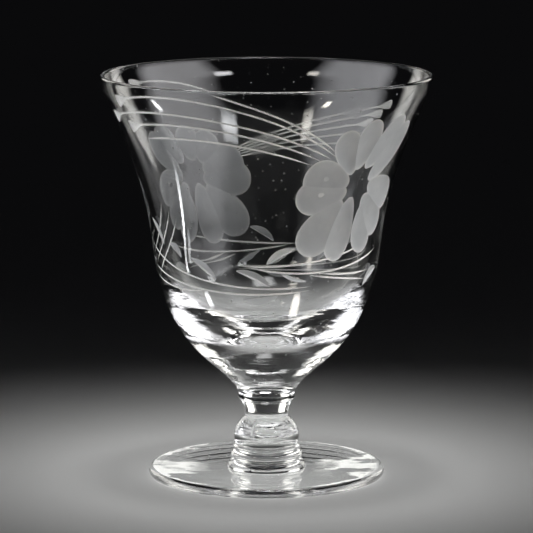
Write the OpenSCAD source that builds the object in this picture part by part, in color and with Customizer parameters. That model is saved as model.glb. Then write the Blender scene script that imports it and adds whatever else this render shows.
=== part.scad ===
// Footed wine glass: seven bodies of clear glass fused end to end on one upright axis.
// Every body is turned about Z, and each meets the next on a flat round face.

/* [Bowl] */
// Height of the whole glass, from the table to the top of the rim
glass_h = 110; // [108:1:125]
// Radius of the bowl at the outside of its rim
rim_r = 44.9; // [44:0.1:50]
// Thickness of the wall just under the rim
rim_wall = 1.35; // [1:0.05:2]
// Height at which the bowl's side is nearly upright
belly_h = 64.5; // [60:0.5:68]
// Outer radius of the bowl at that height
belly_r = 31.1; // [28:0.1:34]
// Thickness of the wall at that height
belly_wall = 2.3; // [1.5:0.1:3]
// Height of the lowest point inside the bowl
well_h = 38.8; // [34:0.1:42]
// Radius of the bowl where it is fused to the wafer
bowl_root_r = 7.6; // [7:0.1:9]
// Height of that joint
bowl_root_h = 22.4; // [22:0.1:23]

/* [Stem] */
// Radius of the wafer's rounded edge
wafer_r = 7.7; // [7.6:0.1:9]
// Height of the joint between the wafer and the neck
neck_top_h = 20.6; // [20:0.1:21.5]
// Radius of the neck at its top
neck_top_r = 6.95; // [6.5:0.05:7.5]
// Height of the narrowest place of the neck
waist_h = 17.1; // [16.8:0.1:18]
// Radius at that place
waist_r = 5.9; // [5:0.1:6.3]
// Height of the joint between the neck and the knop
knop_top_h = 16.2; // [15.5:0.1:16.5]
// Largest radius of the knop
knop_r = 8.9; // [8.6:0.1:10]
// Height of that place
knop_h = 11; // [10.5:0.1:12]
// Radius of the lip around the bottom of the knop
knop_lip_r = 9.15; // [9:0.05:10]

/* [Rings] */
// Height of the joint between the knop and the upper ring
upper_ring_top_h = 6.9; // [6.5:0.1:7.2]
// Largest radius of the upper ring
upper_ring_r = 9.8; // [9.5:0.1:11]
// Height of the joint between the two rings
lower_ring_top_h = 4.2; // [4:0.1:5]
// Radius of the lower ring where it stands on the foot
lower_ring_r = 10.8; // [10.5:0.1:12]
// Radius of the groove above and below the upper ring
groove_r = 8.8; // [8.5:0.1:9]

/* [Foot] */
// Radius of the foot
foot_r = 32.3; // [28:0.1:36]
// Thickness of the foot at its rounded edge
foot_edge_t = 2.5; // [2:0.1:3.5]
// Height of the foot's upper face where the lower ring stands on it
foot_mid_h = 2.1; // [1.8:0.1:2.6]
// Rise of the hollow under the foot, at its middle
foot_hollow = 0.7; // [0.3:0.1:1]
// Width of the flat ring that the glass rests on
rest_w = 1.2; // [1:0.1:4]

/* [Hidden] */

glass = [0.86, 0.9, 0.91, 0.45];
steps = 14;             // points on each curved stretch of an outline
facets = 128;           // facets round the axis

rim_round = rim_wall / 2;
rim_h = glass_h - rim_round;            // height of the centre of the rounded rim
rim_lean = 6;                           // angles that the side leans out from upright, in degrees
flare_lean = 24.5;
belly_lean = 6.1;
root_lean = 16;
flare_r = rim_r - 1.5;
flare_h = rim_h - 5.3;
foot_round = foot_edge_t / 2;
rest_r = foot_r - foot_round;           // outer radius of the ring that rests on the table

// A point at a distance from p, in the direction that leans out by an angle from upright.
function lean(p, distance, angle) = p + distance * [sin(angle), cos(angle)];

// A smooth curve from a to d that sets out towards b and comes in from c, without its last point.
function curve(a, b, c, d) = [for (i = [0:steps - 1]) let (t = i / steps, s = 1 - t)
    s^3 * a + 3 * s^2 * t * b + 3 * s * t^2 * c + t^3 * d];

// An arc about a centre, between two angles counted from +X, with both ends.
function arc(centre, r, from, to) = [for (i = [0:steps])
    let (angle = from + (to - from) * i / steps) centre + r * [cos(angle), sin(angle)]];

// The wall thins from the belly to the rim.
function wall(h) = rim_wall + (belly_wall - rim_wall) * pow((rim_h - h) / (rim_h - belly_h), 2);

// A rounded band of a radius between two heights, which starts and ends at other radii.
function band(h0, r0, h1, r1, r) = let (mid = (h0 + h1) / 2, reach = (h1 - h0) / 4) concat(
    curve([r0, h0], [(r0 + r) / 2, h0], [r, mid - reach], [r, mid]),
    curve([r, mid], [r, mid + reach], [(r1 + r) / 2, h1], [r1, h1]));

module turned(outline) {
    color(glass) rotate_extrude($fn = facets) polygon(outline);
}

module bowl() {
    root = [bowl_root_r, bowl_root_h];
    belly = [belly_r, belly_h];
    flare = [flare_r, flare_h];
    rim = [rim_r, rim_h];
    inner_belly = [belly_r - belly_wall, belly_h];
    side = concat(
        curve(belly, lean(belly, 15.8, belly_lean), lean(flare, -12, flare_lean), flare),
        curve(flare, lean(flare, 2, flare_lean), lean(rim, -2, rim_lean), rim));
    inside = [for (i = [len(side) - 1:-1:1]) [side[i].x - wall(side[i].y), side[i].y]];
    well = curve(inner_belly, lean(inner_belly, -17, belly_lean), [16.5, well_h], [0, well_h]);
    turned(concat(
        [[0, bowl_root_h]],
        curve(root, lean(root, 9.1, root_lean), lean(belly, -32.6, belly_lean), belly),
        side,
        arc([rim_r - rim_round, rim_h], rim_round, 0, 180),
        inside,
        well,
        [[0, well_h]]));
}

module bowl_wafer() {
    turned(concat(
        [[0, neck_top_h]],
        band(neck_top_h, neck_top_r, bowl_root_h, bowl_root_r, wafer_r),
        [[bowl_root_r, bowl_root_h], [0, bowl_root_h]]));
}

module stem_neck() {
    waist = [waist_r, waist_h];
    top = [neck_top_r, neck_top_h];
    turned(concat(
        [[0, knop_top_h], [waist_r + 0.1, knop_top_h]],
        curve(waist, waist + [0, 1], lean(top, -1.2, root_lean), top),
        [top, [0, neck_top_h]]));
}

module knop() {
    shoulder = [waist_r + 0.1, knop_top_h];
    widest = [knop_r, knop_h];
    lip_h = upper_ring_top_h + 1;
    tuck = [knop_r - 0.2, lip_h + 0.8];
    lip = [knop_lip_r, lip_h];
    groove = [groove_r, upper_ring_top_h];
    turned(concat(
        [[0, upper_ring_top_h]],
        curve(groove, groove + [0.2, 0], lip - [0, 0.4], lip),
        curve(lip, lip + [0, 0.3], tuck - [0, 0.3], tuck),
        curve(tuck, tuck + [0.1, 0.6], widest - [0, 0.8], widest),
        curve(widest, widest + [0, 2.4], shoulder + [1, -0.9], shoulder),
        [shoulder, [0, knop_top_h]]));
}

module collar_ring_upper() {
    turned(concat(
        [[0, lower_ring_top_h]],
        band(lower_ring_top_h, groove_r, upper_ring_top_h, groove_r, upper_ring_r),
        [[groove_r, upper_ring_top_h], [0, upper_ring_top_h]]));
}

// The lower ring is a half round whose widest place is its joint with the foot.
module collar_ring_lower() {
    base = [lower_ring_r, foot_mid_h];
    groove = [groove_r, lower_ring_top_h];
    reach = (groove - base) * 0.55;
    turned(concat(
        [[0, foot_mid_h]],
        curve(base, base + [0, reach.y], groove - [reach.x, 0], groove),
        [groove, [0, lower_ring_top_h]]));
}

module foot() {
    hollow_edge = [rest_r - rest_w, 0];
    turned(concat(
        [[0, foot_hollow]],
        curve([0, foot_hollow], [10, foot_hollow], hollow_edge - [8, 0], hollow_edge),
        [hollow_edge],
        arc([rest_r, foot_round], foot_round, -90, 90),
        [[lower_ring_r, foot_mid_h], [0, foot_mid_h]]));
}

bowl();
bowl_wafer();
stem_neck();
knop();
collar_ring_upper();
collar_ring_lower();
foot();
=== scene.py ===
import math
import random

import bpy
import numpy as np
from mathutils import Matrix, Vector


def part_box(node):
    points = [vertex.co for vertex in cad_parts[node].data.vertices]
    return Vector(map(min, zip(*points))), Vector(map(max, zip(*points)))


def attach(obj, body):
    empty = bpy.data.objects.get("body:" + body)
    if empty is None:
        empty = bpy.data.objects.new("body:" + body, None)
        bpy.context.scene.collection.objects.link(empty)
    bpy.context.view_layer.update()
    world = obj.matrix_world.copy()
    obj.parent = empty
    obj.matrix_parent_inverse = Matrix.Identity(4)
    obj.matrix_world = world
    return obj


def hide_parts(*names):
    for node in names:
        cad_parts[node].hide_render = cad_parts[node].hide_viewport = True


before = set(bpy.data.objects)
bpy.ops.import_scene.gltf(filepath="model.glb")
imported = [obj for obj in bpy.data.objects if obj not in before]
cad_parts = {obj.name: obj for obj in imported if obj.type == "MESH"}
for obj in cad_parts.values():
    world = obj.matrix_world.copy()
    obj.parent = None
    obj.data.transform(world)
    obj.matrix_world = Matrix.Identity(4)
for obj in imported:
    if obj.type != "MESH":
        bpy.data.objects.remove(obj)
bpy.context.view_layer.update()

# A low footed wine glass: seven bodies of clear glass fused end to end, with a cut bowl.
# Lengths are in millimetres until a mesh is made, and in metres for the lights, the camera and the
# materials. Angles are in degrees.
# Azimuth 0 faces the camera, towards -Y, and azimuth 90 is +X.
MM = 0.001

# --- Sizes, from the frame -----------------------------------------------------------------------


def levels(cad_node):
    """Lowest height, highest height and radius of a CAD node."""
    low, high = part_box(cad_node)
    return low.z / MM, high.z / MM, high.x / MM


bowl_root_h, glass_h, rim_r = levels("bowl")
neck_top_h, _, wafer_r = levels("bowl_wafer")
knop_top_h, _, neck_top_r = levels("stem_neck")
upper_ring_top_h, _, knop_lip_r = levels("knop")
lower_ring_top_h, _, upper_ring_r = levels("collar_ring_upper")
foot_mid_h, _, lower_ring_r = levels("collar_ring_lower")
foot_r = levels("foot")[2]

# The CAD's sizes that its boxes don't tell. A lean is how far the side leans out from upright.
rim_wall = 1.35                 # thickness of the wall just under the rim
rim_round = rim_wall / 2
rim_h = glass_h - rim_round     # height of the centre of the rounded rim
rim_lean = 6
flare = (rim_r - 1.5, rim_h - 5.3)
flare_lean = 24.5
belly = (31.1, 64.5)            # radius and height where the bowl's side is nearly upright
belly_lean = 6.1
belly_wall = 2.3
bowl_root_r = 7.6
root_lean = 16
well_h = 38.8                   # height of the lowest point inside the bowl
waist_r = 5.9
waist_h = 17.1
shoulder_r = waist_r + 0.1      # radius of the joint between the neck and the knop
knop_r = 8.9
knop_h = 11
groove_r = 8.8                  # radius of the grooves above and below the upper ring
foot_edge_t = 2.5
foot_hollow = 0.7               # rise of the hollow under the foot
rest_w = 1.2                    # width of the flat ring that the glass rests on

# How finely the meshes are made.
AROUND = 264                    # steps round the axis
WELD_DIGITS = 5                 # points that agree to this many decimals of a millimetre are one
TINY = 1e-9

# --- Outlines, as (radius, height) points, each from the axis outwards, up and back to it ---------


def lean(p, distance, angle):
    """A point at a distance from p, in the direction that leans out by an angle from upright."""
    a = math.radians(angle)
    return (p[0] + distance * math.sin(a), p[1] + distance * math.cos(a))


def curve(a, b, c, d, steps):
    """A smooth curve from a to d that sets out towards b and comes in from c, without its last point."""
    t = np.linspace(0, 1, steps, endpoint=False)[:, None]
    s = 1 - t
    a, b, c, d = (np.array(p, float) for p in (a, b, c, d))
    return s**3 * a + 3 * s**2 * t * b + 3 * s * t**2 * c + t**3 * d


def arc(centre, r, start, end, steps):
    """An arc about a centre between two angles counted from outwards, with both ends."""
    a = np.radians(np.linspace(start, end, steps + 1))
    return np.array(centre) + r * np.column_stack([np.cos(a), np.sin(a)])


def band(h0, r0, h1, r1, r):
    """A rounded band of a radius between two heights, which starts and ends at other radii."""
    mid, reach = (h0 + h1) / 2, (h1 - h0) / 4
    return np.vstack([
        curve((r0, h0), ((r0 + r) / 2, h0), (r, mid - reach), (r, mid), 10),
        curve((r, mid), (r, mid + reach), ((r1 + r) / 2, h1), (r1, h1), 10),
        [(r1, h1)],
    ])


def disc(r, h, outwards):
    """A flat round face at a height, drawn outwards from the axis or inwards to it."""
    radii = np.linspace(0, r, 3)
    return np.column_stack([radii if outwards else radii[::-1], np.full(3, h)])


def bowl_side():
    """The outside of the bowl from its root to its rounded rim."""
    root, rim = (bowl_root_r, bowl_root_h), (rim_r, rim_h)
    return np.vstack([
        curve(root, lean(root, 9.1, root_lean), lean(belly, -32.6, belly_lean), belly, 64),
        curve(belly, lean(belly, 15.8, belly_lean), lean(flare, -12, flare_lean), flare, 40),
        curve(flare, lean(flare, 2, flare_lean), lean(rim, -2, rim_lean), rim, 8),
    ])


def bowl_wall(h):
    """Thickness of the wall above the belly."""
    return rim_wall + (belly_wall - rim_wall) * ((rim_h - h) / (rim_h - belly[1])) ** 2


def bowl_outline():
    """The bowl's outside, rim and inside."""
    side = bowl_side()
    upper = side[side[:, 1] > belly[1] + 0.01][::-1]
    inner_belly = (belly[0] - belly_wall, belly[1])
    return np.vstack([
        side,
        arc((rim_r - rim_round, rim_h), rim_round, 0, 180, 12),
        np.column_stack([upper[:, 0] - bowl_wall(upper[:, 1]), upper[:, 1]]),
        curve(inner_belly, lean(inner_belly, -17, belly_lean), (16.5, well_h), (0, well_h), 48),
        [(0, well_h)],
    ])


def neck_outline():
    """The neck's side, from its narrow bottom to its top."""
    waist, top = (waist_r, waist_h), (neck_top_r, neck_top_h)
    return np.vstack([
        [(shoulder_r, knop_top_h)],
        curve(waist, (waist_r, waist_h + 1), lean(top, -1.2, root_lean), top, 16),
        [top],
    ])


def knop_outline():
    """The knop's side, from its groove over the lip and the widest place to the shoulder."""
    lip_h = upper_ring_top_h + 1
    start, lip = (groove_r, upper_ring_top_h), (knop_lip_r, lip_h)
    tuck = (knop_r - 0.2, lip_h + 0.8)
    widest, shoulder = (knop_r, knop_h), (shoulder_r, knop_top_h)
    return np.vstack([
        curve(start, (groove_r + 0.2, upper_ring_top_h), (knop_lip_r, lip_h - 0.4), lip, 8),
        curve(lip, (knop_lip_r, lip_h + 0.3), (tuck[0], tuck[1] - 0.3), tuck, 8),
        curve(tuck, (tuck[0] + 0.1, tuck[1] + 0.6), (knop_r, knop_h - 0.8), widest, 10),
        curve(widest, (knop_r, knop_h + 2.4), (shoulder_r + 1, knop_top_h - 0.9), shoulder, 20),
        [shoulder],
    ])


def lower_ring_outline():
    """A half round whose widest place is its joint with the foot."""
    rise, drop = 0.55 * (lower_ring_top_h - foot_mid_h), 0.55 * (lower_ring_r - groove_r)
    base, top = (lower_ring_r, foot_mid_h), (groove_r, lower_ring_top_h)
    return np.vstack([
        curve(base, (lower_ring_r, foot_mid_h + rise), (groove_r + drop, lower_ring_top_h), top, 14),
        [top],
    ])


def foot_outlines():
    """The hollow underside with its resting ring, and the edge with the upper face."""
    edge_round = foot_edge_t / 2
    rest_r = foot_r - edge_round
    hollow_edge = (rest_r - rest_w, 0)
    under = np.vstack([
        curve((0, foot_hollow), (10, foot_hollow), (hollow_edge[0] - 8, 0), hollow_edge, 24),
        [hollow_edge],
    ])
    top = np.array([(lower_ring_r, foot_mid_h)])
    edge = arc((rest_r, edge_round), edge_round, -90, 90, 16)
    face = np.linspace(edge[-1], top[0], 12)
    return under, np.vstack([edge[:-1], face])


# --- Meshes --------------------------------------------------------------------------------------


def radial(azimuth):
    """Unit vectors that point away from the axis at azimuths in degrees."""
    a = np.radians(azimuth)
    return np.stack([np.sin(a), -np.cos(a), np.zeros_like(a)], -1)


def grid_normals(points, closed):
    """Unit normals of a grid of points, rows by columns. A closed grid meets itself at its last
    column."""
    down = np.gradient(points, axis=0)
    if closed:
        ring = points[:, :-1]
        along = np.roll(ring, -1, 1) - np.roll(ring, 1, 1)
        along = np.concatenate([along, along[:, :1]], 1)
    else:
        along = np.gradient(points, axis=1)
    normals = np.cross(along, down)
    length = np.linalg.norm(normals, axis=2, keepdims=True)
    poles = length[..., 0] < TINY
    normals = normals / np.maximum(length, TINY)
    for row in np.nonzero(poles.all(1))[0]:
        normals[row] = normals[1 if row == 0 else row - 1].mean(0)
        normals[row] /= np.linalg.norm(normals[row, 0])
    return normals


def build(name, patches, materials, inside_out=False):
    """One closed mesh from patches (points, normals, slot, whiteness_and_painted_highlight), welded
    where they meet. The normals, and how white a ground face is left, with the painted highlight along
    the cuts' edges, are kept in each face's corners. Inside out, the faces look the other way from their
    normals."""
    points = np.vstack([patch[0].reshape(-1, 3) for patch in patches])
    rounded = np.round(points, WELD_DIGITS)
    _, first, index = np.unique(rounded, axis=0, return_index=True, return_inverse=True)
    index = index.ravel()
    faces, slots, normals, whites_and_painted_highlights, start = [], [], [], [], 0
    for p, n, slot, whiteness_and_painted_highlight in patches:
        rows, columns = p.shape[:2]
        whiteness_and_painted_highlight = np.broadcast_to(whiteness_and_painted_highlight, (rows, columns))
        ids = index[start:start + rows * columns].reshape(rows, columns)
        start += rows * columns
        i, j = rows // 2, columns // 2
        a, b, c = p[i - 1, j], p[i - 1, j - 1], p[i, j]
        forward = (np.dot(np.cross(b - a, c - a), n[i, j]) > 0) != inside_out
        for i in range(rows - 1):
            for j in range(columns - 1):
                spots = [(i, j + 1), (i, j), (i + 1, j), (i + 1, j + 1)]
                if not forward:
                    spots.reverse()
                face = {int(ids[spot]): spot for spot in spots}
                if len(face) < 3:
                    continue
                faces.append(list(face))
                slots.append(slot)
                normals += [n[spot] for spot in face.values()]
                whites_and_painted_highlights += [whiteness_and_painted_highlight[spot] for spot in face.values()]
    mesh = bpy.data.meshes.new(name)
    mesh.from_pydata((points[first] * MM).tolist(), [], faces)
    mesh.polygons.foreach_set("material_index", slots)
    for material in materials:
        mesh.materials.append(material)
    mesh.polygons.foreach_set("use_smooth", [True] * len(faces))
    held = mesh.attributes.new("true_normal", "FLOAT_VECTOR", "CORNER")
    held.data.foreach_set("vector", np.array(normals, np.float32).ravel())
    # How white each ground face is left; along the scoops' and leaves' edges this is a painted
    # highlight.
    held = mesh.attributes.new("whiteness_and_painted_highlight", "FLOAT", "CORNER")
    held.data.foreach_set("value", np.array(whites_and_painted_highlights, np.float32))
    piece = bpy.data.objects.new(name, mesh)
    bpy.context.scene.collection.objects.link(piece)
    return piece


def shade(mesh):
    """Uses the normals kept in the corners, which stay true across a cut."""
    held = mesh.attributes["true_normal"]
    normals = np.zeros(len(mesh.loops) * 3, np.float32)
    held.data.foreach_get("vector", normals)
    normals = normals.reshape(-1, 3)
    normals /= np.maximum(np.linalg.norm(normals, axis=1, keepdims=True), 1e-6)
    mesh.attributes.remove(held)
    mesh.normals_split_custom_set(normals.tolist())


def turned_patch(outline, slot, swell=None):
    """An outline turned about the axis. swell(azimuth, height) moves points away from the axis."""
    azimuth = np.linspace(0, 360, AROUND + 1)
    azimuth[-1] = 0
    outline = np.asarray(outline, float)
    r = np.repeat(outline[:, :1], AROUND + 1, 1)
    h = np.repeat(outline[:, 1:], AROUND + 1, 1)
    if swell is not None:
        r = np.where(r > 0, r + swell(azimuth[None, :], h), r)
    points = r[..., None] * radial(azimuth)[None]
    points[..., 2] = h
    return points, grid_normals(points, True), slot, 0


# The bowl's material slots. The other pieces have only the first two.
CLEAR, JOINT, FROST, LINE = range(4)


def turned_piece(name, outlines, materials, swell=None):
    """A closed piece from outlines (points, slot) that run from the axis and back to it."""
    return build(name, [turned_patch(points, slot, swell) for points, slot in outlines], materials)


# --- Materials -----------------------------------------------------------------------------------

GLASS_IOR = 1.52
# Depths of the uneven places in a surface.
WAVE_DEPTH = 0.00004
CORD_DEPTH = 0.00012
SCRATCH_DEPTH = 0.0000006
GRAIN_DEPTH = 0.00002
# The cords fade out upwards between these heights.
CORDS_FULL_H = 0.040
CORDS_END_H = 0.052

def node(tree, kind, **settings):
    """A new node. A setting is an input's value, or else a property of the node."""
    made = tree.nodes.new(kind)
    for key, value in settings.items():
        if hasattr(made, key) and key not in made.inputs:
            setattr(made, key, value)
        else:
            made.inputs[key].default_value = value
    return made


def noise(tree, coordinates, scale, detail=2.0, rough=0.5):
    """Cloudy values from 0 to 1."""
    made = node(tree, "ShaderNodeTexNoise", Scale=scale, Detail=detail, Roughness=rough)
    tree.links.new(coordinates, made.inputs["Vector"])
    return made.outputs["Fac"]


def remap(tree, value, low, high, to_low, to_high):
    """A value moved from one range to another, and held at its ends."""
    made = node(tree, "ShaderNodeMapRange")
    for key, number in (("From Min", low), ("From Max", high), ("To Min", to_low), ("To Max", to_high)):
        made.inputs[key].default_value = number
    tree.links.new(value, made.inputs["Value"])
    return made.outputs["Result"]


def bump(tree, height, distance, normal=None):
    """A normal that follows a height from 0 to 1 over a distance, on top of another normal."""
    made = node(tree, "ShaderNodeBump", Strength=1.0, Distance=distance)
    tree.links.new(height, made.inputs["Height"])
    if normal is not None:
        tree.links.new(normal, made.inputs["Normal"])
    return made.outputs["Normal"]


def start_material(name, **settings):
    """A new material, with its node tree, its shader and the object's own coordinates."""
    material = bpy.data.materials.new(name)
    material.use_nodes = True
    tree = material.node_tree
    shader = tree.nodes["Principled BSDF"]
    for key, value in settings.items():
        shader.inputs[key.replace("_", " ")].default_value = value
    coordinates = tree.nodes.new("ShaderNodeTexCoord").outputs["Object"]
    return material, tree, shader, coordinates


def clear_glass(name, tint):
    """Polished glass with the slow waves and cords of hand work, faint smears, fine scratches and
    dust. The cords are only in the lower part of the glass."""
    material, tree, shader, at = start_material(name, Transmission_Weight=1.0, IOR=GLASS_IOR)
    mix = node(tree, "ShaderNodeMix", data_type="RGBA")
    mix.inputs[6].default_value = (*tint, 1)
    mix.inputs[7].default_value = (1, 1, 1, 1)
    tree.links.new(noise(tree, at, 25), mix.inputs[0])
    tree.links.new(mix.outputs[2], shader.inputs["Base Color"])
    smears = remap(tree, noise(tree, at, 90, 4, 0.6), 0.55, 0.75, 0.0, 0.16)
    cells = node(tree, "ShaderNodeTexVoronoi", Scale=330.0)
    tree.links.new(at, cells.inputs["Vector"])
    dust = remap(tree, cells.outputs["Distance"], 0.05, 0.09, 0.8, 0.0)
    either = node(tree, "ShaderNodeMath", operation="MAXIMUM")
    tree.links.new(smears, either.inputs[0])
    tree.links.new(dust, either.inputs[1])
    tree.links.new(either.outputs[0], shader.inputs["Roughness"])
    waves = bump(tree, noise(tree, at, 45, 1), WAVE_DEPTH)
    flat = node(tree, "ShaderNodeMapping", Scale=(1, 1, 6))
    tree.links.new(at, flat.inputs["Vector"])
    split = node(tree, "ShaderNodeSeparateXYZ")
    tree.links.new(at, split.inputs[0])
    cords = node(tree, "ShaderNodeMath", operation="MULTIPLY")
    tree.links.new(noise(tree, flat.outputs[0], 70, 2, 0.4), cords.inputs[0])
    tree.links.new(remap(tree, split.outputs[2], CORDS_END_H, CORDS_FULL_H, 0.0, 1.0), cords.inputs[1])
    waves = bump(tree, cords.outputs[0], CORD_DEPTH, waves)
    scratched = bump(tree, noise(tree, at, 1400, 3), SCRATCH_DEPTH, waves)
    tree.links.new(scratched, shader.inputs["Normal"])
    return material


def ground_glass(name, dull, bright, through, rough):
    """Glass left matt by the cutting wheel, with its fine grain. It is whiter and rougher where the
    mesh says so, at sharp edges, and in patches. The whiter sharp edges of the scoops and leaves are a
    painted highlight."""
    material, tree, shader, at = start_material(name, Transmission_Weight=through, IOR=GLASS_IOR)
    # How white the mesh leaves each face: along the scoops' and leaves' edges a painted highlight.
    whiteness_and_painted_highlight = node(tree, "ShaderNodeAttribute", attribute_name="whiteness_and_painted_highlight").outputs["Fac"]
    clouds = remap(tree, noise(tree, at, 150, 3, 0.5), 0.3, 0.7, -0.05, 0.3)
    total = node(tree, "ShaderNodeMath", operation="ADD", use_clamp=True)
    tree.links.new(whiteness_and_painted_highlight, total.inputs[0])
    tree.links.new(clouds, total.inputs[1])
    mix = node(tree, "ShaderNodeMix", data_type="RGBA")
    mix.inputs[6].default_value = (*dull, 1)
    mix.inputs[7].default_value = (*bright, 1)
    tree.links.new(total.outputs[0], mix.inputs[0])
    tree.links.new(mix.outputs[2], shader.inputs["Base Color"])
    tree.links.new(remap(tree, total.outputs[0], 0, 1, rough, rough + 0.15), shader.inputs["Roughness"])
    tree.links.new(bump(tree, noise(tree, at, 5000, 2), GRAIN_DEPTH), shader.inputs["Normal"])
    return material


def fused_joint():
    """The face where two pieces are fused: the glass is continuous there, so nothing shows."""
    return start_material("fused_joint", Alpha=0.0, IOR=GLASS_IOR)[0]


def floor_surface():
    """A plain pale floor, very slightly uneven in tone."""
    material, tree, shader, at = start_material("pale_floor", Roughness=0.7)
    mix = node(tree, "ShaderNodeMix", data_type="RGBA")
    mix.inputs[6].default_value = (0.70, 0.70, 0.69, 1)
    mix.inputs[7].default_value = (0.76, 0.76, 0.75, 1)
    tree.links.new(noise(tree, at, 3), mix.inputs[0])
    tree.links.new(mix.outputs[2], shader.inputs["Base Color"])
    return material


glass_bowl = clear_glass("bowl_crystal", (0.975, 0.985, 0.985))
glass_stem = clear_glass("stem_crystal", (0.965, 0.985, 0.975))
petal_cut = ground_glass("petal_cut", (0.62, 0.64, 0.65), (1, 1, 0.99), 0.52, 0.44)
petal_inputs = petal_cut.node_tree.nodes["Principled BSDF"].inputs
petal_inputs["Coat Weight"].default_value = 0.45
petal_inputs["Coat Roughness"].default_value = 0.33
line_cut = ground_glass("line_cut", (0.9, 0.9, 0.88), (1.0, 1.0, 0.96), 0.15, 0.4)
joint = fused_joint()
bowl_materials = [glass_bowl, joint, petal_cut, line_cut]
stem_materials = [glass_stem, joint]

# --- Cutting the bowl ----------------------------------------------------------------------------

LINE_STEPS = 90                 # steps along a line
LINE_HALF_WIDTH = 0.26
LINE_RISE = 0.5                 # how far each end of a line rises out of the glass
LINE_BACK = 0.7                 # how far a line's back stays outside the glass
DROP_LENGTH = 7.0
LEAF_STEPS = 26
LEAF_DEPTH = 0.45
LEAF_RISE = 0.6
LEAF_BACK = 0.9
SCOOP_DEPTH = 0.75
SCOOP_RINGS = 12
SCOOP_POINTS = 49               # points round a scoop, the first one twice
SCOOP_EGG = 0.28                # how much wider a scoop is at its outer end
SCOOP_BACK = 1.2
EDGE_HIGHLIGHT_POWER = 14                 # how narrow the painted highlight along a scoop's white edge is

side = bowl_side()
side_slope = np.degrees(np.arctan(np.gradient(side[:, 0], side[:, 1])))


def on_bowl(azimuth, height, lift):
    """Points on the outside of the bowl, or a lift away from it along its normal."""
    height = np.minimum(height, rim_h)
    r = np.interp(height, side[:, 1], side[:, 0])
    slope = np.radians(np.interp(height, side[:, 1], side_slope))
    out = radial(azimuth)
    points = (r + lift * np.cos(slope))[..., None] * out
    points[..., 2] = height - lift * np.sin(slope)
    return points


def near(azimuth, height, right, up):
    """Azimuth and height of places some millimetres to the right of and above a place on the bowl."""
    slope = math.radians(np.interp(height, side[:, 1], side_slope))
    h = height + up * math.cos(slope)
    r = np.interp(h, side[:, 1], side[:, 0])
    return azimuth + np.degrees(right / r), h


def closed_cutter(name, points, centres, slot, whiteness_and_painted_highlight=1):
    """A closed cutter from a grid of points that meets itself at its last column, with a fan over
    each end. Centres are points inside it, one for each row. Its normals point inwards, because they
    become those of the glass that it leaves."""
    normals = grid_normals(points, True)
    if (normals * (points - centres)).sum() > 0:
        normals = -normals
    patches = [(points, normals, slot, whiteness_and_painted_highlight)]
    middle = points.reshape(-1, 3).mean(0)
    for row in (points[:1], points[-1:]):
        end = row[:, :-1].mean(1, keepdims=True)
        fan = np.concatenate([row, np.repeat(end, row.shape[1], 1)], 0)
        inwards = (middle - end) / np.linalg.norm(middle - end)
        patches.append((fan, np.broadcast_to(inwards, fan.shape), slot, 0))
    return build(name, patches, bowl_materials, True)


def cutter(name, azimuth, height, lift, slot, whiteness_and_painted_highlight=1):
    """A closed cutter whose grid of places on the bowl runs along its cut, row by row. Its last
    columns are its back, which stays outside the glass."""
    points = on_bowl(azimuth, height, lift)
    points = np.concatenate([points, points[:, :1]], 1)
    return closed_cutter(name, points, points.mean(1, keepdims=True), slot, whiteness_and_painted_highlight)


def groove(name, path, half_width, depth):
    """A groove along a path(t) of azimuth and height, with its half width and depth as functions of
    the distance run. Both its ends rise out of the glass."""
    t = np.linspace(0, 1, LINE_STEPS)
    azimuth, height = path(t)
    spots = on_bowl(azimuth, height, 0 * t)
    run = np.concatenate([[0], np.cumsum(np.linalg.norm(np.diff(spots, axis=0), axis=1))])
    ahead = np.gradient(spots, axis=0)
    ahead /= np.linalg.norm(ahead, axis=1, keepdims=True)
    up_wall = spots - on_bowl(azimuth, height - 0.5, 0 * t)
    up_wall /= np.linalg.norm(up_wall, axis=1, keepdims=True)
    right = radial(azimuth + 90)
    go_right, go_up = (ahead * right).sum(1), (ahead * up_wall).sum(1)
    half, deep = half_width(run, run[-1]), depth(run, run[-1])
    sides = np.array([-1.5, -1, -0.6, 0, 0.6, 1, 1.5])
    across = half[:, None] * sides[None]
    lift = -deep[:, None] * (1 - sides[None] ** 2)
    back = np.full((LINE_STEPS, 2), LINE_BACK)
    across = np.concatenate([across, sides[-1] * half[:, None] * np.array([[1, -1]])], 1)
    lift = np.concatenate([lift, back], 1)
    lift[0] += LINE_RISE
    lift[-1] += LINE_RISE
    r = np.interp(height, side[:, 1], side[:, 0])
    az = azimuth[:, None] + np.degrees(-across * go_up[:, None] / r[:, None])
    h = height[:, None] + across * go_right[:, None]
    return cutter(name, az, h, lift, LINE)


def bend(start, middle, end):
    """A path that sets out from start and bends towards middle on its way to end."""
    def path(t):
        weights = (1 - t) ** 2, 2 * t * (1 - t), t**2
        return tuple(sum(w * p[i] for w, p in zip(weights, (start, middle, end))) for i in (0, 1))
    return path


def thin(drop):
    """Half width along a line that tapers to a point at its end and may begin in a drop."""
    def half(x, length):
        body = LINE_HALF_WIDTH * np.clip((length - x) / 6, 0.12, 1) * np.clip(x / 4, 0.3, 1)
        t = np.clip(x / DROP_LENGTH, 0, 1)
        return body + drop * 2.4 * t**0.3 * (1 - t) ** 1.6
    return half


def line(name, start, middle, end, drop):
    """A fine cut line, a little deeper where it is wider."""
    half = thin(drop)

    def depth(x, length):
        return 0.1 + 0.28 * half(x, length) / (1 + 0.5 * half(x, length))

    return groove(name, bend(start, middle, end), half, depth)


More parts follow.
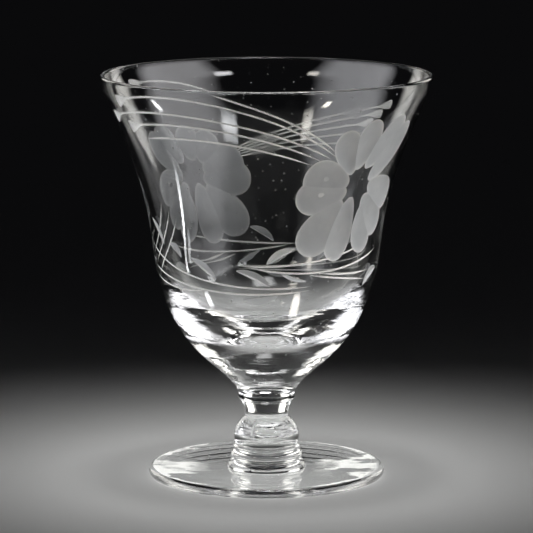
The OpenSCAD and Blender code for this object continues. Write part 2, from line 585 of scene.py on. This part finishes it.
def scoop(name, azimuth, height, direction, length, width):
    """A shallow oval scoop whose long way points in a direction counted from the right, upwards."""
    turn = math.radians(direction)
    share = np.concatenate([np.linspace(0.12, 1, SCOOP_RINGS), [1.12, 1.2]])
    around = np.radians(np.linspace(0, 360, SCOOP_POINTS))
    along = share[:, None] * np.cos(around)[None] * length / 2
    across = share[:, None] * np.sin(around)[None] * width / 2 * (1 + SCOOP_EGG * np.cos(around)[None])
    lift = np.repeat(-SCOOP_DEPTH * (1 - share**2)[:, None], SCOOP_POINTS, 1)
    along = np.concatenate([along, along[-1:], 0.1 * along[-1:]])
    across = np.concatenate([across, across[-1:], 0.1 * across[-1:]])
    lift = np.concatenate([lift, np.full((2, SCOOP_POINTS), SCOOP_BACK)])
    right = along * math.cos(turn) - across * math.sin(turn)
    up = along * math.sin(turn) + across * math.cos(turn)
    az, h = near(azimuth, height, right, up)
    points = on_bowl(az, h, lift)
    points[:, -1] = points[:, 0]
    # The scoop's edge is left whiter: a painted highlight where the cut's rim would catch the light.
    whiteness_and_painted_highlight = np.concatenate([share, [1.2, 0]])[:, None] ** EDGE_HIGHLIGHT_POWER
    return closed_cutter(name, points, points.reshape(-1, 3).mean(0), FROST, whiteness_and_painted_highlight)


def leaf(name, start, end, width):
    """A leaf with one straight deep edge from start to end and one bowed shallow edge. A negative
    width bows it downwards."""
    t = np.linspace(0, 1, LEAF_STEPS)
    azimuth = start[0] + (end[0] - start[0]) * t
    height = start[1] + (end[1] - start[1]) * t
    r = np.interp(height, side[:, 1], side[:, 0])
    run = np.array([math.radians(end[0] - start[0]) * r.mean(), end[1] - start[1]])
    run /= np.linalg.norm(run)
    bow = width * np.sin(np.pi * t) ** 0.8 + math.copysign(0.1, width)
    share = np.array([-0.12, 0.0, 0.07, 0.14, 0.18, 0.4, 0.7, 1.0, 1.15])
    across = bow[:, None] * share[None]
    shape = np.interp(share, [-0.12, 0.0, 0.14, 1.0, 1.15], [0.6, 0.0, -1.0, 0.0, 0.3])
    # The leaf is whitest along its deep edge: a painted highlight where the steep wall would catch the
    # light.
    whiteness_and_painted_highlight = np.concatenate([np.where(share < 0.16, 1, 0.3 * share), [0, 0, 0]])
    deep = LEAF_DEPTH * np.clip(np.sin(np.pi * t), 0.05, 1) ** 0.6
    lift = np.where(shape[None] < 0, shape[None] * deep[:, None], shape[None] * 0.5)
    across = np.concatenate([across, across[:, -1:], across[:, :1]], 1)
    lift = np.concatenate([lift, np.full((LEAF_STEPS, 2), LEAF_BACK)], 1)
    lift[0] += LEAF_RISE
    lift[-1] += LEAF_RISE
    az = azimuth[:, None] + np.degrees(-across * run[1] / r[:, None])
    h = height[:, None] + across * run[0]
    return cutter(name, az, h, lift, FROST, whiteness_and_painted_highlight[None])


# A petal is two or three shallow oval scoops, seen from outside: the scoop's middle in millimetres to
# the right of and above the flower's centre, the way that it points, its length and its width.
PETALS = {
    "top": ((-4.5, 9.5, 110, 14, 8), (1, 11.5, 80, 15, 8)),
    "upper_right": ((8.5, 11.5, 55, 18, 8), (12, 8.5, 50, 20, 8)),
    "lower_right": ((12, -3, -25, 15, 9), (9, -9, -50, 15, 9), (6, -12.5, -85, 15, 8)),
    "bottom": ((-8, -11.5, 235, 18, 10), (-2, -12.5, 255, 18, 8)),
    "left": ((-9, 2, 170, 14, 11), (-9.5, -2.5, 185, 15, 10)),
}

# Lines and leaves, as azimuth and height from the flower's centre. A line has its start, the point
# that it bends towards, its end, and the half width of the drop that it begins with.
SWEEPS = (
    ((-60, 25.5), (-32, 20), (-12, 9), 0),
    ((-106, 21), (-60, 31), (-12, 8), 1.5),
    ((-117, 16), (-65, 26), (-14, 7.5), 1.5),
    ((-104, 14.5), (-62, 21), (-18, 7), 1.5),
    ((-93, 12), (-58, 15.5), (-22, 6), 0),
)
LOWER_SWEEPS = [((-97 + 4 * i, 20 - 3 * i), (-58 + 2 * i, 15 - 2 * i), (-18, 4.5 - 0.5 * i),
                 1.2 if i < 3 else 0) for i in range(5)]
LOWER_SWEEPS.append(((25, 25), (2, 27), (-19, 20), 1.5))
LOW_LINES = (
    ((-118, -18), (-78, -29), (-18, -27), 0),
    ((-118, -24), (-70, -31), (-18, -28), 0),
    ((-118, -27), (-97, -30), (-74, -28.5), 0),
    ((-54, -21), (-20, -22), (12, -17), 0),
    ((-49, -21.5), (-10, -26), (28, -19), 0),
    ((-19, -24), (0, -25.5), (20, -27), 0),
    ((-14, -23.5), (4, -25), (22, -24.5), 0),
)
STALKS = [((-98 + 5 * i, -6 - 2 * i), (-104 + 4 * i, -15 - 2 * i), (-118 + 2 * i, -21 - 3 * i), 0)
          for i in range(3)]
# A leaf has its start, its end and how far it bows, upwards or, if negative, downwards.
LEAVES = (
    ((-82, -20), (-67, -25.5), 2),
    ((-57, -22.5), (-39, -27), 2),
    ((-54, -30.5), (-35, -29), -2),
    ((-41, -21), (-27, -16.5), 2),
    ((-34, -23), (-20, -25.5), -1),
    ((19, -29), (34, -25), 3),
    ((-97, -17), (-88, -20.5), 2),
    ((-113, -11), (-102, -18), 2),
)


def motif(tag, azimuth, height, top, sweeps, draw):
    """All the cuts of one flower with its sweeping lines and leaves. Top squeezes the petals above
    the flower's centre, and draw gives the small differences of hand work."""
    def wander(p, by):
        return azimuth + p[0] + draw.uniform(-1, 1) * by, height + p[1] + draw.uniform(-0.3, 0.3) * by

    made = []
    for petal, scoops in PETALS.items():
        for k, (right, up, direction, length, width) in enumerate(scoops):
            squeeze = top if up > 0 else 1
            az, h = near(azimuth, height, right, up * squeeze)
            upright = abs(math.sin(math.radians(direction)))
            made.append(scoop(f"{tag}_{petal}_{k}", az, h, direction + draw.uniform(-3, 3),
                              length * (1 + (squeeze - 1) * upright), width))
    for kind, rows in (("sweep", sweeps), ("low", LOW_LINES), ("stalk", STALKS)):
        for i, (start, middle, end, drop) in enumerate(rows):
            made.append(line(f"{tag}_{kind}_{i}", wander(start, 0.4), wander(middle, 0.4),
                             wander(end, 0.3), drop))
    for i, (start, end, width) in enumerate(LEAVES):
        made.append(leaf(f"{tag}_leaf_{i}", wander(start, 0.3), wander(end, 0.3), width))
    return made


def cut(bowl, cutters):
    """Takes the cutters out of the bowl and removes them."""
    wheels = bpy.data.collections.new("wheels")
    bpy.context.scene.collection.children.link(wheels)
    for c in cutters:
        bpy.context.scene.collection.objects.unlink(c)
        wheels.objects.link(c)
    taken = bowl.modifiers.new("cuts", "BOOLEAN")
    taken.operation, taken.solver = "DIFFERENCE", "MANIFOLD"
    taken.operand_type, taken.collection = "COLLECTION", wheels
    mesh = bpy.data.meshes.new_from_object(bowl.evaluated_get(bpy.context.evaluated_depsgraph_get()))
    if len(mesh.polygons) == len(bowl.data.polygons):
        raise RuntimeError("the bowl was not cut")
    bowl.modifiers.clear()
    bowl.data = mesh
    for c in cutters:
        bpy.data.objects.remove(c)
    bpy.data.collections.remove(wheels)


# --- The pieces ----------------------------------------------------------------------------------


SEAM_AZIMUTH = 335
SEAM_HEIGHT = 0.12
SEAM_SPREAD = 2                 # how far the ridge spreads to either side, in degrees
# Azimuth and height of each flower's centre.
FRONT_FLOWER = (41, 83.5)
BACK_FLOWER = (217, 79.2)
BACK_SQUEEZE = 0.7


def seam(azimuth, height):
    """The fine upright ridges that the mould's two halves left down the stem."""
    off = (azimuth - SEAM_AZIMUTH + 90) % 180 - 90
    fade = np.clip((bowl_root_h - height) / 2, 0, 1) * np.clip(height - foot_mid_h, 0, 1)
    return SEAM_HEIGHT * np.exp(-(off / SEAM_SPREAD) ** 2) * fade


pieces = {}
pieces["bowl"] = turned_piece("bowl_cut_crystal", [
    (disc(bowl_root_r, bowl_root_h, True), JOINT),
    (bowl_outline(), CLEAR)], bowl_materials)
hand = random.Random(41)
cut(pieces["bowl"], motif("front", *FRONT_FLOWER, 1.0, SWEEPS, hand)
    + motif("back", *BACK_FLOWER, BACK_SQUEEZE, LOWER_SWEEPS, hand))

pieces["bowl_wafer"] = turned_piece("wafer_glass", [
    (disc(neck_top_r, neck_top_h, True), JOINT),
    (band(neck_top_h, neck_top_r, bowl_root_h, bowl_root_r, wafer_r), CLEAR),
    (disc(bowl_root_r, bowl_root_h, False), JOINT)], stem_materials, seam)
pieces["stem_neck"] = turned_piece("neck_glass", [
    (disc(shoulder_r, knop_top_h, True), JOINT),
    (neck_outline(), CLEAR),
    (disc(neck_top_r, neck_top_h, False), JOINT)], stem_materials, seam)
pieces["knop"] = turned_piece("knop_glass", [
    (disc(groove_r, upper_ring_top_h, True), JOINT),
    (knop_outline(), CLEAR),
    (disc(shoulder_r, knop_top_h, False), JOINT)], stem_materials, seam)
pieces["collar_ring_upper"] = turned_piece("upper_ring_glass", [
    (disc(groove_r, lower_ring_top_h, True), JOINT),
    (band(lower_ring_top_h, groove_r, upper_ring_top_h, groove_r, upper_ring_r), CLEAR),
    (disc(groove_r, upper_ring_top_h, False), JOINT)], stem_materials, seam)
pieces["collar_ring_lower"] = turned_piece("lower_ring_glass", [
    (disc(lower_ring_r, foot_mid_h, True), JOINT),
    (lower_ring_outline(), CLEAR),
    (disc(groove_r, lower_ring_top_h, False), JOINT)], stem_materials, seam)
under, upper = foot_outlines()
pieces["foot"] = turned_piece("foot_glass", [
    (under, CLEAR), (upper, CLEAR), (disc(lower_ring_r, foot_mid_h, False), JOINT)], stem_materials)

for cad_node, piece in pieces.items():
    shade(piece.data)
    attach(piece, "root")
    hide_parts(cad_node)

# --- Floor, light and camera ---------------------------------------------------------------------

bpy.ops.mesh.primitive_plane_add(size=8)
floor = bpy.context.object
floor.name = "floor"
floor.data.materials.append(floor_surface())

world = bpy.data.worlds.new("dark_studio")
bpy.context.scene.world = world
world.use_nodes = True
world.node_tree.nodes["Background"].inputs["Color"].default_value = (0.004, 0.004, 0.0045, 1)


def softbox(name, place, target, size, power, spread=180, tone=(1, 1, 1)):
    """A soft panel light that the camera doesn't see, turned towards a target."""
    data = bpy.data.lights.new(name, "AREA")
    data.shape, data.size, data.size_y = "RECTANGLE", *size
    data.energy, data.spread, data.color = power, math.radians(spread), tone
    light = bpy.data.objects.new(name, data)
    bpy.context.scene.collection.objects.link(light)
    light.location = place
    light.rotation_euler = (Vector(target) - Vector(place)).to_track_quat("-Z", "Y").to_euler()
    light.visible_camera = False
    return light


def soften(data, edge):
    """Lets a panel fade towards its edges, over a share of its width and height."""
    data.use_nodes = True
    tree = data.node_tree
    emission = tree.nodes["Emission"]
    place = node(tree, "ShaderNodeSeparateXYZ")
    tree.links.new(node(tree, "ShaderNodeNewGeometry").outputs["Parametric"], place.inputs[0])
    both = node(tree, "ShaderNodeMath", operation="MULTIPLY")
    for k in range(2):
        inwards = node(tree, "ShaderNodeMath", operation="PINGPONG")
        tree.links.new(place.outputs[k], inwards.inputs[0])
        inwards.inputs[1].default_value = 0.5
        fade = remap(tree, inwards.outputs[0], 0, edge, 0, 1)
        tree.links.new(fade, both.inputs[k])
    tree.links.new(both.outputs[0], emission.inputs["Strength"])


GLASS_MIDDLE = (0, 0, 0.06)
PANEL_FADE = 0.22
STRIP_FADE = 0.3
STRIP_HEIGHT = 0.002

glass_only = bpy.data.collections.new("lit_glass")
for piece in pieces.values():
    glass_only.objects.link(piece)

# The overheads light only the floor. The even one throws no shadow of the glass, and the shaded one
# does.
floor_only = bpy.data.collections.new("lit_floor")
floor_only.objects.link(floor)
for part_name, power, caster in (("even", 0.031, floor_only), ("shaded", 0.014, None)):
    overhead = softbox(f"overhead_{part_name}", (0, 0, 0.75), (0, 0, 0), (0.12, 0.12), power, 17)
    overhead.light_linking.receiver_collection = floor_only
    if caster:
        overhead.light_linking.blocker_collection = caster
# Azimuth, distance and height of the middle, width, height, power and tone of each panel. They light
# only the glass.
PANELS = {
    "left": (-76, 1.3, 0.62, 2.0, 1.3, 19, (0.96, 0.96, 1)),
    "right": (76, 1.3, 0.62, 2.0, 1.3, 19, (0.98, 0.97, 1)),
    "window_left": (-39, 1.3, 0.98, 0.24, 0.17, 1.2, (1, 0.96, 0.88)),
    "window_right": (36, 1.3, 0.98, 0.40, 0.18, 2.4, (0.97, 0.98, 1)),
    "back_left": (-145, 1.3, 0.38, 0.62, 0.85, 4, (1, 0.98, 0.93)),
    "back_right": (145, 1.3, 0.38, 0.62, 0.85, 4.4, (1, 0.98, 0.93)),
    "above": (10, 0.4, 1.4, 0.6, 0.6, 10, (1, 1, 1)),
    "foot_left": (-177.5, 1.3, 0.29, 0.06, 0.03, 0.012, (1, 1, 0.96)),
    "foot_right": (178, 1.3, 0.29, 0.05, 0.03, 0.010, (1, 1, 0.96)),
    "cuts": (110, 1.2, 0.5, 0.5, 0.5, 18, (1, 1, 0.98)),
}
for panel_name, (azimuth, distance, height, wide, tall, power, tone) in PANELS.items():
    place = distance * radial(np.array(azimuth)) + [0, 0, height]
    panel = softbox(f"panel_{panel_name}", place, GLASS_MIDDLE, (wide, tall), power, tone=tone)
    panel.light_linking.receiver_collection = glass_only
    soften(panel.data, PANEL_FADE)
    # These aren't seen through the glass, and the cuts' panel lights only the matt cuts.
    if panel_name in ("foot_left", "foot_right", "cuts"):
        panel.visible_transmission = False
    if panel_name == "cuts":
        panel.visible_glossy = False
# Azimuth and distance of both ends, width, power and tone of each strip that lies on the floor.
STRIPS = {
    "left_high": ((-83, 0.146), (-85, 0.24), 0.011, 0.14, (0.97, 0.98, 1)),
    "left_low": ((-64, 0.112), (-58, 0.080), 0.011, 0.03, (0.97, 0.98, 1)),
    "right_high": ((40, 0.152), (43, 0.225), 0.016, 0.08, (1, 0.94, 0.82)),
    "right_low": ((31, 0.105), (27, 0.065), 0.014, 0.04, (1, 0.95, 0.86)),
}
for strip_name, ((near_azimuth, near_m), (far_azimuth, far_m), wide, power, tone) in STRIPS.items():
    near_end = near_m * radial(np.array(near_azimuth))
    far_end = far_m * radial(np.array(far_azimuth))
    run = far_end - near_end
    place = (near_end + far_end) / 2 + [0, 0, STRIP_HEIGHT]
    size = wide, float(np.linalg.norm(run))
    strip = softbox(f"strip_{strip_name}", place, (0, 0, 1), size, power, 150, tone)
    strip.rotation_euler = (math.pi, 0, math.atan2(run[0], -run[1]))
    strip.light_linking.receiver_collection = glass_only
    soften(strip.data, STRIP_FADE)

CAMERA_LENS = 233
CAMERA_AWAY = 0.938
CAMERA_PITCH = 9.33
CAMERA_AIM_H = 57.35            # in millimetres

camera_data = bpy.data.cameras.new("camera")
camera = bpy.data.objects.new("camera", camera_data)
bpy.context.scene.collection.objects.link(camera)
bpy.context.scene.camera = camera
camera_data.sensor_width, camera_data.lens = 36, CAMERA_LENS
look_at = Vector((0, 0, CAMERA_AIM_H * MM))
pitch = math.radians(CAMERA_PITCH)
camera.location = look_at + Vector((0, -CAMERA_AWAY * math.cos(pitch), CAMERA_AWAY * math.sin(pitch)))
camera.rotation_euler = (look_at - camera.location).to_track_quat("-Z", "Y").to_euler()

scene = bpy.context.scene
scene.view_settings.view_transform = "Standard"
GLASS_BOUNCES = 24
scene.cycles.max_bounces = GLASS_BOUNCES
scene.cycles.transmission_bounces = GLASS_BOUNCES
scene.cycles.transparent_max_bounces = GLASS_BOUNCES
scene.cycles.glossy_bounces = 12
